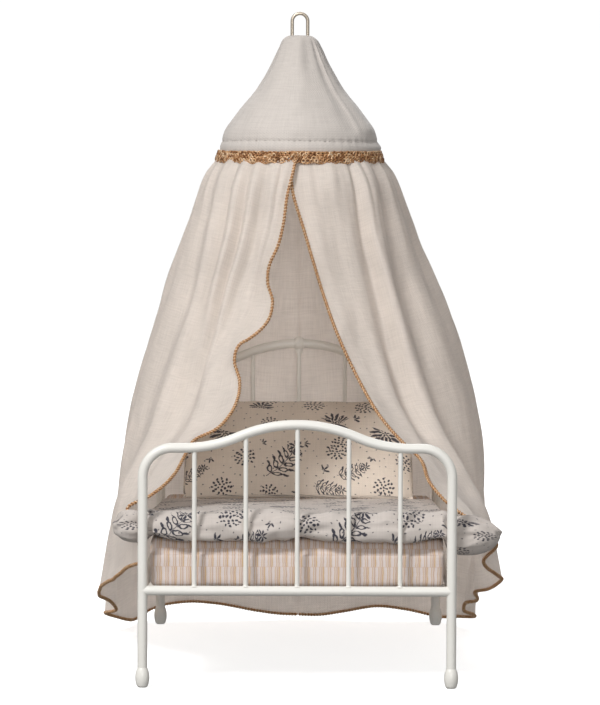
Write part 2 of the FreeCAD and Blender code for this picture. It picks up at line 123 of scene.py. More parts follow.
def grid_normals(grid, ring=False):
    """Unit normals of a grid of points, along rows cross along columns; ring closes each row."""
    across = np.roll(grid, -1, 1) - np.roll(grid, 1, 1) if ring else np.gradient(grid, axis=1)
    return unit(np.cross(np.gradient(grid, axis=0), across))


def ripple(points, size, seed):
    """Smooth noise from about -1 to 1 at each point; size is the width of its waves on each axis."""
    stretched = points.reshape(-1, 3) / np.asarray(size, float) + 31.7 * seed
    return np.array([noise.noise(Vector(p)) for p in stretched]).reshape(points.shape[:-1])


def grid_faces(rows, columns, ring=False):
    """Quads that join a grid of points; ring joins its last column to the first."""
    last = columns if ring else columns - 1
    r, c = np.meshgrid(np.arange(rows - 1), np.arange(last), indexing="ij")
    after = (c + 1) % columns
    corners = (r * columns + c, r * columns + after, (r + 1) * columns + after, (r + 1) * columns + c)
    return np.stack(corners, -1).reshape(-1, 4)


def looped_faces(rows, columns):
    """Quads of a ring-shaped tube, its last row joined to its first."""
    return grid_faces(rows + 1, columns, ring=True) % (rows * columns)


def tube_faces(rows, columns):
    """Quads of a closed tube, with a face over each end."""
    last = (rows - 1) * columns
    ends = [list(range(columns)), list(range(last, last + columns))]
    return grid_faces(rows, columns, ring=True).tolist() + ends


# ---- pieces


def make_piece(name, points, faces, flat=None):
    """A smooth closed mesh. flat is each point's place on the uncut cloth, kept as an attribute."""
    mesh = bpy.data.meshes.new(name)
    mesh.from_pydata((np.asarray(points, float).reshape(-1, 3) * MM).tolist(), [], [list(f) for f in faces])
    if flat is not None:
        layer = mesh.attributes.new("flat", "FLOAT_VECTOR", "POINT")
        layer.data.foreach_set("vector", np.asarray(flat, np.float32).ravel())
    shell = bmesh.new()
    shell.from_mesh(mesh)
    bmesh.ops.recalc_face_normals(shell, faces=shell.faces)
    shell.to_mesh(mesh)
    shell.free()
    mesh.shade_smooth()
    mesh.set_sharp_from_angle(angle=SHARP_FROM)
    piece = bpy.data.objects.new(name, mesh)
    scene.collection.objects.link(piece)
    return piece


def finish_piece(piece, material):
    """Gives a piece its material."""
    piece.data.materials.clear()
    piece.data.materials.append(material)


def thin_sheet(name, outside, inside, flat, ring=False):
    """A closed thin sheet between two grids of points; a ring is capped at its last row."""
    rows, columns = outside.shape[:2]
    count = rows * columns
    index = np.arange(count).reshape(rows, columns)
    sides = (index[0, :-1], index[:-1, -1], index[-1, :0:-1], index[:0:-1, 0])
    rim = index[0] if ring else np.concatenate(sides)
    after = np.roll(rim, -1)
    skin = grid_faces(rows, columns, ring)
    edge = np.stack((rim, after, after + count, rim + count), -1)
    points = np.concatenate((outside.reshape(-1, 3), inside.reshape(-1, 3)))
    both = np.concatenate((flat.reshape(-1, 3), flat.reshape(-1, 3)))
    caps = (index[-1], index[-1, ::-1] + count) if ring else ()
    return make_piece(name, points, [*skin, *(skin[:, ::-1] + count), *edge, *caps], both)


class Bundle:
    """Collects small parts that make one piece."""

    def __init__(self):
        self.points, self.faces, self.flat, self.count = [], [], [], 0

    def add(self, points, faces, flat=None):
        points = np.asarray(points, float).reshape(-1, 3)
        self.points.append(points)
        self.faces.extend([int(i) + self.count for i in face] for face in faces)
        self.flat.append(np.zeros_like(points) if flat is None else np.asarray(flat).reshape(-1, 3))
        self.count += len(points)

    def piece(self, name):
        return make_piece(name, np.concatenate(self.points), self.faces, np.concatenate(self.flat))


def across_path(path, closed=False):
    """Two unit directions across a path at each point, which don't twist."""
    tangent = unit(np.gradient(path, axis=0))
    if closed:
        tangent = unit(np.roll(path, -1, 0) - np.roll(path, 1, 0))
    side = np.zeros_like(path)
    upright = np.array((0.0, 0.0, 1.0)) if abs(tangent[0][2]) < 0.9 else np.array((1.0, 0.0, 0.0))
    side[0] = unit(np.cross(tangent[0], upright))
    for k in range(1, len(path)):
        side[k] = unit(side[k - 1] - tangent[k] * np.dot(side[k - 1], tangent[k]))
    return side, np.cross(tangent, side)


def add_rope(bundle, path, radius, strands=2, pitch=2.6, sides=12, closed=False, depth=0.22):
    """A twisted cord along a path. Its flat place holds the distance along it and the turn round it."""
    side, up = across_path(path, closed)
    along = distances(path)
    turn = np.arange(sides) * TURN / sides
    twist = strands * (turn[None, :] - TURN * along[:, None] / (pitch * strands))
    size = radius * (1 - depth + depth * np.cos(twist))
    if not closed:
        ends = np.minimum(along, along[-1] - along)
        size = size * np.sqrt(np.clip(ends / radius, 0.02, 1))[:, None]
    points = (
        path[:, None]
        + side[:, None] * (size * np.cos(turn))[..., None]
        + up[:, None] * (size * np.sin(turn))[..., None]
    )
    flat = np.stack((np.broadcast_to(along[:, None], size.shape), twist / TURN, size), -1)
    bundle.add(points, looped_faces(len(path), sides) if closed else tube_faces(len(path), sides), flat)


def add_rings(bundle, centres, across, up, radius, wire, around=10, sides=5):
    """Small rings of thread. across and up span each ring's plane."""
    a = np.arange(around) * TURN / around
    b = np.arange(sides) * TURN / sides
    out = (radius[:, None, None] + wire * np.cos(b)[None, None, :])[..., None]
    spoke = (
        across[:, None, None] * np.cos(a)[None, :, None, None]
        + up[:, None, None] * np.sin(a)[None, :, None, None]
    )
    lift = np.cross(across, up)[:, None, None] * (wire * np.sin(b))[None, None, :, None]
    points = centres[:, None, None] + out * spoke + lift
    one = looped_faces(around, sides)
    faces = (one[None] + (np.arange(len(centres)) * around * sides)[:, None, None]).reshape(-1, 4)
    flat = np.zeros_like(points)
    flat[..., 0] = (np.arange(around) * TURN / around * 2)[None, :, None]
    flat[..., 1] = chance.random(len(centres))[:, None, None]
    bundle.add(points, faces, flat)


# ---- material nodes


class Value:
    """A number that nodes work out, with ordinary arithmetic."""

    def __init__(self, tree, socket):
        self.tree, self.socket = tree, socket

    def math(self, operation, *others):
        node = self.tree.nodes.new("ShaderNodeMath")
        node.operation = operation
        for k, value in enumerate((self, *others)):
            if isinstance(value, Value):
                self.tree.links.new(value.socket, node.inputs[k])
            else:
                node.inputs[k].default_value = value
        return Value(self.tree, node.outputs[0])

    __add__ = partialmethod(math, "ADD")
    __sub__ = partialmethod(math, "SUBTRACT")
    __mul__ = partialmethod(math, "MULTIPLY")
    __truediv__ = partialmethod(math, "DIVIDE")
    size = partialmethod(math, "ABSOLUTE")
    largest = partialmethod(math, "MAXIMUM")
    smallest = partialmethod(math, "MINIMUM")

    def wrapped(self, length):
        """The same value less whole lengths, from minus half a length to half."""
        return self.math("WRAP", length / 2, -length / 2)

    def under(self, limit, soft=0.2):
        """1 where the value is below limit, 0 above, over a width of soft."""
        return (self * (-1 / soft) + (limit / soft + 0.5)).smallest(1.0).largest(0.0)


class Look:
    """One material and the nodes in it."""

    def __init__(self, name):
        self.material = bpy.data.materials.new(name)
        self.material.use_nodes = True
        self.tree = self.material.node_tree
        self.surface = self.tree.nodes["Principled BSDF"]
        self.output = self.tree.nodes["Material Output"]

    def add(self, kind, settings=(), **inputs):
        """A node with its settings and inputs; an input is a number, a colour, a socket or a Value."""
        node = self.tree.nodes.new("ShaderNode" + kind)
        for name, value in dict(settings).items():
            setattr(node, name, value)
        for name, value in inputs.items():
            self.put(node, name, value)
        return node

    def put(self, node, name, value):
        """Sets or links one input of a node."""
        entry = node.inputs[name.replace("_", " ")] if isinstance(name, str) else node.inputs[name]
        if isinstance(value, Value):
            self.tree.links.new(value.socket, entry)
        elif isinstance(value, bpy.types.NodeSocket):
            self.tree.links.new(value, entry)
        else:
            entry.default_value = value

    def dress(self, **inputs):
        """Sets inputs of the surface."""
        for name, value in inputs.items():
            self.put(self.surface, name, value)

    def flat(self):
        """The two places on the flat cloth, in millimetres, and the pair as one vector."""
        place = self.add("Attribute", {"attribute_name": "flat"})
        parts = self.add("SeparateXYZ", Vector=place.outputs["Vector"])
        u, v = (Value(self.tree, parts.outputs[k]) for k in range(2))
        return u, v, place.outputs["Vector"]

    def position(self):
        """The place in the object, in millimetres."""
        return self.shade(self.add("TexCoord").outputs["Object"], 1 / MM)

    def joined(self, x, y, z=0.0):
        """A vector from three values."""
        node = self.add("CombineXYZ")
        for k, value in enumerate((x, y, z)):
            self.put(node, k, value)
        return node.outputs[0]

    def grain(self, vector, scale, detail=3.0, rough=0.5):
        """Noise from 0 to 1 over a vector."""
        node = self.add("TexNoise", Vector=vector, Scale=scale, Detail=detail, Roughness=rough)
        return Value(self.tree, node.outputs[0])

    def mix(self, share, first, second):
        """A colour between two colours."""
        node = self.add("Mix", {"data_type": "RGBA"})
        for k, value in ((0, share), (6, first), (7, second)):
            if isinstance(value, tuple) and len(value) == 3:
                value = (*value, 1)
            self.put(node, k, value)
        return node.outputs[2]

    def shade(self, colour, amount):
        """A colour or vector made larger or smaller."""
        return self.add("VectorMath", {"operation": "SCALE"}, Vector=colour, Scale=amount).outputs[0]

    def ramp(self, value, stops):
        """A colour read from stops of (place, colour)."""
        node = self.add("ValToRGB", Fac=value)
        while len(node.color_ramp.elements) < len(stops):
            node.color_ramp.elements.new(0.5)
        for element, (place, colour) in zip(node.color_ramp.elements, stops):
            element.position = place
            element.color = (*colour, 1)
        return node.outputs[0]

    def relief(self, height, depth):
        """Bump from a height between 0 and 1; depth is in millimetres."""
        node = self.add("Bump", Height=height, Distance=depth * MM)
        self.put(self.surface, "Normal", node.outputs[0])
        return node.outputs[0]


def linear(*colour):
    """A colour as light, from its usual 0 to 255 numbers."""
    return tuple(((c / 255 + 0.055) / 1.055) ** 2.4 if c > 10 else c / 255 / 12.92 for c in colour)


def woven(look, pitch, slub):
    """Weave of a plain cloth: its height, and a value near 1 that thick and thin threads give it."""
    u, v, place = look.flat()
    over = (u * (math.pi / pitch)).math("SINE") * (v * (math.pi / pitch)).math("SINE")
    down = look.grain(look.joined(u * 1.6, v * 0.09), 1.0, 2.0)
    along = look.grain(look.joined(u * 0.09, v * 1.6, 3.0), 1.0, 2.0)
    patch = look.grain(place, 0.05, 2.0)
    streaks = (down + along) * 0.5
    height = streaks * 0.6 + over * 0.12 + 0.2
    tone = streaks * slub + patch * (slub * 0.4) + (1 - slub * 0.7)
    return height, tone


def cloth_look(name, colour, through_colour=None, see_through=0.0, slub=0.42, pitch=0.5, depth=0.25):
    """Plain woven cotton; see_through is the share of the light that comes through it."""
    look = Look(name)
    height, tone = woven(look, pitch, slub)
    look.dress(Base_Color=look.shade(colour, tone), Roughness=0.92, Specular_IOR_Level=0.2)
    look.dress(Sheen_Weight=0.25, Sheen_Roughness=0.5)
    normal = look.relief(height, depth)
    if see_through:
        through_it = look.add("BsdfTranslucent", Color=look.shade(through_colour, tone), Normal=normal)
        both = look.add("MixShader")
        for k, value in enumerate((see_through, look.surface.outputs[0], through_it.outputs[0])):
            look.put(both, k, value)
        look.put(look.output, "Surface", both.outputs[0])
    return look.material


def enamel_look():
    """Off-white enamel on wire: satin and faintly uneven."""
    look = Look("enamel")
    place = look.position()
    patch = look.grain(place, 0.06, 3.0)
    peel = look.grain(place, 0.9, 2.0)
    tint = look.mix(patch, (0.84, 0.815, 0.755), (0.90, 0.88, 0.825))
    look.dress(Base_Color=tint, Roughness=patch * 0.15 + 0.3, Coat_Weight=0.25, Coat_Roughness=0.25)
    look.relief(peel, 0.05)
    return look.material


def wire_look(name, dark, light, rough):
    """Drawn metal wire with fine scratches."""
    look = Look(name)
    scratch = look.grain(look.position(), 2.5, 4.0)
    look.dress(Base_Color=look.mix(scratch, dark, light), Metallic=0.85, Roughness=scratch * 0.2 + rough)
    look.relief(scratch, 0.03)
    return look.material


def card_look():
    """Plain grey-brown card with fibres."""
    look = Look("card")
    fibre = look.grain(look.position(), 1.2, 4.0)
    look.dress(Base_Color=look.mix(fibre, (0.42, 0.36, 0.27), (0.58, 0.51, 0.40)), Roughness=0.95)
    look.relief(fibre, 0.1)
    return look.material


def gold_look():
    """Gold thread, with painted highlights on the strands, painted shade between them and flecks of painted
    glint.
    """
    look = Look("gold_thread")
    v = look.flat()[1]
    # Painted glint: this noise lights flecks of the colour, and also sets the roughness and the bump.
    glint_and_grain = look.grain(look.position(), 1.6, 3.0, 0.6)
    # Painted light: a painted highlight on the crest of each strand and painted shade in the groove between
    # strands; the ramp runs from painted shade to a near-white painted highlight.
    painted_strand_light = (v * TURN).math("COSINE") * 0.5 + 0.5
    light = (glint_and_grain * 1.4 - 0.5 + painted_strand_light * 0.6).smallest(1.0).largest(0.0)
    tint = look.ramp(light, (
        (0.0, linear(98, 62, 36)),
        (0.35, linear(166, 116, 74)),
        (0.7, linear(214, 170, 124)),
        (1.0, linear(245, 226, 198)),
    ))
    look.dress(Base_Color=tint, Metallic=0.35, Roughness=glint_and_grain * -0.3 + 0.6)
    look.relief(glint_and_grain, 0.25)
    return look.material


# ---- printed linen

# Each motif is placed as x, y, degrees and size in one repeat of the cloth.
PRINT_REPEAT = (72.0, 58.0)
DOT_SPACING = 4.6
NAVY = linear(26, 30, 50)
SPRIGS = ((11, 17, 50, 0.95), (-31, 12, 20, 0.62), (30, 4, -15, 0.6))
PEONIES = ((0, 52, 80, 0.8), (33, 40, 50, 0.95), (-16, 35, -110, 1.0), (-36, 41, 130, 0.6))
WREATHS = ((-25, 52, 0, 1), (24, 54, 20, 1), (4, 40, 50, 0.85), (-36, 27, 10, 1), (-7, 20, 80, 1),
           (34, 23, 30, 1), (-17, 5, 60, 1), (4, 2, 15, 0.9))
TRIOS = ((-13, 50, 200, 1), (-30, 43, 20, 1), (17, 37, 100, 1), (28, 13, 40, 1), (17, 2, 170, 1),
         (1, 28, 20, 0.8), (-22, 20, 250, 0.8), (20, 27, 0, 0.8))


def nearest(look, x, y, places):
    """The place measured from the nearest of places, turned to its direction and sized to it."""
    best = None
    for across, up, degrees, size in places:
        dx = (x - across).wrapped(PRINT_REPEAT[0])
        dy = (y - up).wrapped(PRINT_REPEAT[1])
        c, s = math.cos(math.radians(degrees)) / size, math.sin(math.radians(degrees)) / size
        u, v = dx * c + dy * s, dy * c - dx * s
        far = u * u + v * v
        if best is None:
            best = (u, v, far)
            continue
        chosen = far.math("LESS_THAN", best[2])
        best = tuple(old + (new - old) * chosen for old, new in zip(best, (u, v, far)))
    return best


def ellipse(x, y, centre, degrees, half_length, half_width):
    """Roughly how far outside an ellipse a place is, in millimetres."""
    c, s = math.cos(math.radians(degrees)), math.sin(math.radians(degrees))
    dx, dy = x - centre[0], y - centre[1]
    along = (dx * c + dy * s) / half_length
    over = (dy * c - dx * s) / half_width
    return ((along * along + over * over).math("SQRT") - 1) * half_width


def petals(x, y, far, count, reach, half_length, half_width, turn=0.0):
    """Distance outside the nearest of count petals that stand round a centre."""
    radius = far.math("SQRT")
    angle = (y.math("ARCTAN2", x) + turn).wrapped(TURN / count)
    x, y = radius * angle.math("COSINE"), radius * angle.math("SINE")
    return ellipse(x, y, (reach, 0), 0, half_length, half_width)


def flower(x, y, far, rings):
    """1 on the petals of every ring; a ring is count, reach, half length, half width and turn."""
    return reduce(Value.largest, [petals(x, y, far, *ring).under(0.0) for ring in rings])


def sprig_mask(look, x, y):
    """A bent stem with outlined leaves on both sides, small dark leaves outside them and a tuft."""
    u, v, far = nearest(look, x, y, SPRIGS)
    bent = (v - u * u * 0.016).size()
    leaf = ellipse(u.wrapped(3.7), bent, (0.2, 2.3), 52, 2.0, 0.9)
    outlined = leaf.size().under(0.27) * u.size().math("LESS_THAN", 8.8)
    dark = ellipse((u + 1.4).wrapped(3.7), bent, (0.0, 5.2), 62, 1.5, 0.6).under(0.0)
    dark = dark * (u + 1.0).size().math("LESS_THAN", 7.0)
    stem = bent.under(0.17) * u.size().math("LESS_THAN", 11)
    end = u - 10.4
    side = v - 1.7
    tuft = petals(end, side, end * end + side * side, 7, 2.2, 1.6, 0.55).under(0.0)
    return outlined.largest(dark).largest(stem).largest(tuft)


def peony_mask(look, x, y):
    """A half flower: fans of dark pointed leaves."""
    u, v, far = nearest(look, x, y, PEONIES)
    rings = ((14, 5.3, 2.0, 0.72), (10, 3.0, 1.3, 0.6, 0.2), (5, 1.1, 0.8, 0.4, 0.1))
    return flower(u, v, far, rings) * (u + 1.2).math("GREATER_THAN", 0.0)


def wreath_mask(look, x, y):
    """A round bunch of seeds."""
    rings = ((12, 4.2, 0.62, 0.5), (9, 2.9, 0.58, 0.5, 0.3), (5, 1.55, 0.58, 0.5, 0.1), (1, 0.1, 0.58, 0.5))
    return flower(*nearest(look, x, y, WREATHS), rings)


def print_mask(look, x, y):
    """1 where the navy print is: sprigs, half flowers, wreaths of seeds, small trios of leaves and dots."""
    mask = sprig_mask(look, x, y).largest(peony_mask(look, x, y)).largest(wreath_mask(look, x, y))
    u, v, far = nearest(look, x, y, TRIOS)
    mask = mask.largest(petals(u, v, far, 6, 1.6, 1.3, 0.48).under(0.0) * u.math("GREATER_THAN", -0.3))
    dots = look.add("TexVoronoi", Vector=look.joined(x, y), Scale=1 / DOT_SPACING, Randomness=0.7)
    dots.voronoi_dimensions = "2D"
    from_dot = Value(look.tree, dots.outputs["Distance"]) * DOT_SPACING
    return mask.largest(from_dot.under(0.32) * 0.8)


def linen_look(name, colour):
    """Beige linen with a navy flower print."""
    look = Look(name)
    height, tone = woven(look, 0.45, 0.3)
    u, v, place = look.flat()
    wobble = look.grain(place, 0.4, 2.0)
    second = look.grain(look.joined(v, u, 9.0), 0.4, 2.0)
    mask = print_mask(look, u + (wobble - 0.5) * 1.7, v + (second - 0.5) * 1.7)
    worn = look.grain(place, 1.4, 2.0) * 0.5 + 0.68
    printed = look.mix((mask * worn).smallest(0.93), look.shade(colour, tone), NAVY)
    look.dress(Base_Color=printed, Roughness=0.9, Sheen_Weight=0.15, Specular_IOR_Level=0.2)
    look.relief(height, 0.2)
    return look.material


# ---- ticking

# Rows and repeats of stripes in millimetres; stops are shares of one repeat.
TICKING_ROW = 14.0
TICKING_REPEAT = 6.0
PALE = linear(222, 211, 208)
SAND = linear(217, 202, 191)
OCHRE = linear(204, 165, 116)
RUST = linear(184, 136, 108)
TICKING_STOPS = (
    (0.0, PALE), (0.14, PALE), (0.17, OCHRE), (0.2, SAND), (0.3, SAND), (0.33, RUST), (0.36, SAND),
    (0.44, PALE), (0.56, PALE), (0.59, OCHRE), (0.62, SAND), (0.72, SAND), (0.75, RUST), (0.78, SAND),
    (0.88, OCHRE), (0.91, SAND), (1.0, PALE),
)


def ticking_look():
    """Cotton ticking: rows of pale blocks between groups of fine ochre, rust and pink stripes."""
    look = Look("ticking")
    height, tone = woven(look, 0.4, 0.18)
    u, v = look.flat()[:2]
    row = (v / TICKING_ROW).math("FLOOR")
    shift = row.math("MODULO", 2.0).size() * (TICKING_REPEAT / 2)
    wave = look.grain(look.joined(u * 0.15, v * 0.3), 1.0, 2.0)
    share = ((u + shift + wave * 0.8) / TICKING_REPEAT).math("FRACT")
    stripes = look.ramp(share, TICKING_STOPS)
    line = ((v / TICKING_ROW).math("FRACT") - 0.5).size().under(0.49, 0.01)
    faded = look.mix(line * 0.35 + 0.6, linear(206, 172, 150), stripes)
    look.dress(Base_Color=look.shade(faded, tone), Roughness=0.9, Sheen_Weight=0.15, Specular_IOR_Level=0.2)
    look.relief(height, 0.15)
    return look.material


enamel = enamel_look()
curtain_cotton = cloth_look("curtain_cotton", linear(245, 236, 227), linear(240, 236, 233), 0.45)
bell_cotton = cloth_look("bell_cotton", linear(206, 198, 191), pitch=0.6, depth=0.35)
gold = gold_look()
# One printed linen in two copies: the quilt's is painted darker and greyer as painted shade, the pillow's
# lighter and warmer as painted light.
quilt_linen_painted_shade = linen_look("quilt_linen_painted_shade", linear(201, 192, 185))
pillow_linen_painted_light = linen_look("pillow_linen_painted_light", linear(224, 211, 197))
ticking = ticking_look()
looks = {
    "enamelled_metal": enamel,
    "hoop_wire": wire_look("hoop_steel", (0.45, 0.44, 0.42), (0.62, 0.61, 0.58), 0.35),
    "loop_wire": wire_look("loop_plated", (0.50, 0.42, 0.33), (0.70, 0.62, 0.52), 0.3),
    "stiff_card": card_look(),
}
for part in frame["record"]["subparts"]:
    node = frame["nodes"][part["node"]]
    if part["material_slot"] in looks:
        node.data.materials.clear()
        node.data.materials.append(looks[part["material_slot"]])


# ---- canopy sizes

hoop_low, hoop_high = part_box("canopy_hoop")
AXIS_Y = (hoop_low.y + hoop_high.y) / 2 / MM
RIM_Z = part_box("canopy_cone")[0].z / MM


def round_axis(radius, bearing, height):
    """Points round the canopy's axis. Bearing is 0 at the front and grows towards the right, in radians."""
    return np.stack(np.broadcast_arrays(
        radius * np.sin(bearing), AXIS_Y - radius * np.cos(bearing), height + 0 * bearing), -1)


# ---- curtains

CLOTH = 0.35
ROWS = 140
COLUMNS = 250
GATHERS = 15
SHARES = (-0.28, 0, 0.28, 0.52, 0.7, 0.8, 0.9, 1)
FOLD_LEVELS = (0, 0.06, 0.2, 0.6, 1)
BACK = (
    (0, 77, 214), (0, 82, 205), (0, 89, 185), (0, 96.5, 155), (0, 102.5, 126), (0, 106, 90), (0, 108, 50),
    (0, 108.5, 4),
)
CORNER = (
    (26, 64.5, 214), (31, 68, 205), (38, 75, 185), (51, 85, 155), (62, 95, 120), (67.5, 99, 88),
    (69.5, 101, 48), (70, 101.5, 4),
)
SHOULDER = (
    (28, 22, 214), (32.5, 19, 205), (36.5, 15.5, 185), (43, 13.5, 155), (52, 10, 126), (62.5, 4.5, 95),
    (76, -2, 66), (83, -4, 31),
)
RIDGE = (
    (20, 15, 214), (23.5, 10, 205), (28, 8.5, 180), (34, 7, 158), (42.5, 3, 124), (47, -1.5, 109),
    (61, -15, 86), (73, -28, 64), (78, -30, 38),
)

# Each half has guides from the hoop down (x is measured away from the middle), folds as (share across,
# millimetres out) near the top and lower down, and its hem from the middle of the back to the front corner.
CURTAINS = {
    "left": {
        "sign": -1,
        "side": ((34.3, 42.5, 214), (40.5, 42.5, 205), (48, 42.5, 183), (53.7, 42.5, 165),
        (61.5, 42, 139), (70, 42, 112), (76.5, 42, 86), (80, 42, 60), (82, 42, 38), (83, 42, 16),
        ),
        "panel": ((10.5, 10, 214), (12.5, 4.5, 205), (16, 3, 185), (24, 1, 155), (35, -4.5, 126),
        (43, -18, 100), (60, -38, 80), (69, -53, 60), (70.5, -50, 43),
        ),
        "edge": ((1, 6.5, 214), (3, 2.5, 205), (5, 1.5, 197), (6.5, 0.5, 185.5), (8.5, 0, 176.5),
        (13, -0.5, 165), (13.2, -0.5, 159), (11.2, -2, 152), (12.7, -4.5, 144), (21, -7.5, 135.6),
        (25.3, -8.5, 133), (27.2, -10.5, 127), (25, -13.5, 118.6), (26.5, -22.5, 108.5), (34, -31.5, 99),
        (44, -37, 94), (47.3, -44, 88.5), (51, -53.5, 82), (62.3, -68.5, 73), (70.3, -70.8, 68.7),
        (70, -71.3, 63), (66.6, -71.5, 57.5), (64.6, -71.5, 52.5), (64.3, -71.5, 46.5),
        ),
        "upper": ((0, 0), (0.07, 1.2), (0.14, -1), (0.21, 1.5), (0.29, -1.2), (0.36, 1.4), (0.43, -1.2),
        (0.5, 1), (0.58, -1.2), (0.64, 1.4), (0.7, -0.8), (0.745, 1.3), (0.79, -2.4), (0.82, 1.3),
        (0.845, -1.7), (0.875, 1.4), (0.93, 0.1), (0.965, 0.6), (1, 0),
        ),
        "lower": ((0, 0), (0.08, 2.2), (0.16, -2), (0.26, 2.4), (0.36, -2), (0.46, 1.8), (0.55, -0.6),
        (0.63, 2), (0.71, -2.6), (0.8, 2.2), (0.88, -0.8), (0.94, 0.6), (1, 0),
        ),
        "hem": ((0, 108.5, 2.6), (8, 108.5, 2.9), (18, 108, 4.2), (38, 107.5, 7.7), (50.5, 107, 8.4),
        (64, 104, 6.6), (73.5, 92, 2.4), (76, 80, 3.4), (84.5, 64, 7.8), (86, 58, 9.4), (80.5, 50, 11.6),
        (81.5, 43, 15), (86.6, 17, 22.5), (83.2, -5, 29.7), (78, -25, 34.3), (70.5, -50, 42.5),
        (64.3, -71.5, 46.5),
        ),
    },
    "right": {
        "sign": 1,
        "side": ((34.3, 42.5, 214), (40.2, 42.5, 205), (45.5, 42.5, 191.5), (52.5, 42.5, 172),
        (58.5, 42, 158.6), (68.7, 42, 132), (76.3, 42, 105.5), (81, 42, 79), (81.5, 42, 56), (77, 42, 17),
        ),
        "panel": ((10.5, 10, 214), (12, 4.5, 205), (15, 3, 185), (22, 1, 155), (33, -4.5, 126),
        (45.5, -18, 100), (61, -40, 80), (75, -54, 62), (80, -50, 47),
        ),
        "edge": ((-3.5, 9, 214), (-3.6, 5, 205), (-2.6, 3.2, 197.5), (1.5, 2, 184), (6, 0, 169),
        (10, -1, 156), (17.3, -7.5, 136), (26, -13.5, 118), (36.3, -28.5, 102), (45, -38, 93),
        (50.4, -44, 88.5), (55.7, -64, 78), (61.3, -69, 72), (68.7, -71.5, 66.5), (77, -74, 62),
        (81.7, -72, 56.5),
        ),
        "upper": ((0, 0), (0.06, -1), (0.13, 1.2), (0.2, -1.3), (0.27, 1.4), (0.34, -1.2), (0.41, 1.4),
        (0.48, -1.2), (0.55, 1), (0.61, -1), (0.665, 1.4), (0.715, -0.6), (0.765, -2.6), (0.8, 2.3),
        (0.85, 0.2), (0.9, 1), (0.95, -0.2), (1, 0),
        ),
        "lower": ((0, 0), (0.07, -2), (0.15, 2.2), (0.24, -2), (0.33, 2.2), (0.43, -1.6), (0.52, 0.8),
        (0.6, -1.8), (0.68, 1.5), (0.745, -2.6), (0.805, 2.9), (0.88, -0.4), (0.94, 0.8), (1, 0),
        ),
        "hem": ((0, 108.5, 2.6), (8, 108.5, 2.4), (20, 108, 4), (36, 107.5, 6.6), (50, 107, 5.2),
        (64, 104.5, 2.4), (71.5, 92, 4), (79.5, 72, 6.8), (78, 65, 8.6), (74.4, 55, 11), (73.8, 42, 16.4),
        (78.2, 31, 18.7), (77.4, 11, 25.3), (82, 1, 27.5), (87, -11, 32.7), (83.5, -27, 37.5),
        (77.7, -44, 44.6), (82.4, -59, 52), (81.7, -72, 56.5),
        ),
    },
}


def curtain_grid(side):
    """Outer points of one half, rows from the hoop down and columns from the back to the front edge."""
    facts = CURTAINS[side]
    mirrored = np.array(CORNER) * (-1, 1, 1)
    guides = (mirrored, BACK, CORNER, facts["side"], SHOULDER, RIDGE, facts["panel"], facts["edge"])
    guides = np.stack([smooth_path(g, ROWS) for g in guides])
    share = np.linspace(0, 1, COLUMNS)
    down = np.linspace(0, 1, ROWS)[:, None]
    grid = np.swapaxes(through(SHARES, guides, share), 0, 1)
    hem = smooth_path(facts["hem"], COLUMNS)
    reach = smooth_step(0.5, 1.05, down)[..., None] ** 1.3
    grid = grid + reach / reach[-1] * (hem - grid[-1])
    grid[..., 0] *= facts["sign"]
    upper, lower = (through(*zip(*facts[folds]), share) for folds in ("upper", "lower"))
    offset = through(FOLD_LEVELS, np.stack((0 * share, 0.5 * upper, upper, lower, 0 * share)), down[:, 0])
    wander = np.sin(TURN * 2.3 * share + facts["sign"]) * 1.3 + np.sin(TURN * 5.1 * share) * 0.9
    gather = np.cos(TURN * GATHERS * share + wander)
    strength = np.interp(down, (0, 0.02, 0.05, 0.12, 0.25, 0.45), (0.15, 0.3, 0.65, 0.42, 0.14, 0))
    fade = smooth_step(0, 0.012, share) * smooth_step(0, 0.02, 1 - share)
    offset = offset + strength * gather * fade * (0.55 + 0.7 * np.sin(TURN * 7.7 * share) ** 2)
    crumple = ripple(grid, (9, 9, 40), 2 + facts["sign"]) * 0.6
    crumple = crumple + ripple(grid, (4, 4, 14), 5 + facts["sign"]) * 0.2
    offset = offset + crumple * smooth_step(0.02, 0.2, down) * fade
    outward = grid_normals(grid) * facts["sign"]
    return grid + outward * offset[..., None]


def curtain_flat(grid):
    """Each point's place on the flat cloth, from lengths along the hem and down columns."""
    across = distances(grid[-1])
    down = np.stack([distances(grid[:, k]) for k in range(grid.shape[1])], 1)
    return np.stack(np.broadcast_arrays(across[None, :], down, 0 * down), -1)


EDGING_RADIUS = 0.82
EDGING_PITCH = 1.35


def swing(piece):
    """Bakes the piece's placement into its mesh."""
    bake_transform(piece)


for side in ("left", "right"):
    grid = curtain_grid(side)
    outward = grid_normals(grid) * CURTAINS[side]["sign"]
    curtain = thin_sheet(f"curtain_{side}_half", grid, grid - CLOTH * outward, curtain_flat(grid))
    finish_piece(curtain, curtain_cotton)
    hem = grid[-1, ::-1]
    route = np.concatenate((grid[:, -1], hem[1:]))
    middle = route - 0.5 * CLOTH * np.concatenate((outward[:, -1], outward[-1, ::-1][1:]))
    length = distances(middle)[-1]
    middle = evenly(middle, int(length / 3.2))
    trim = Bundle()
    add_rope(trim, smooth_path(middle, int(length / 0.24)), EDGING_RADIUS, pitch=EDGING_PITCH, sides=10)
    trim = trim.piece(f"edging_{side}_cord")
    finish_piece(trim, gold)
    shared = ("curtain_back", "curtain_heading") if side == "left" else ()
    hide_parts(f"curtain_{side}", *shared)
    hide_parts(f"edging_{side}")
    swing(curtain)
    swing(trim)


# ---- bell

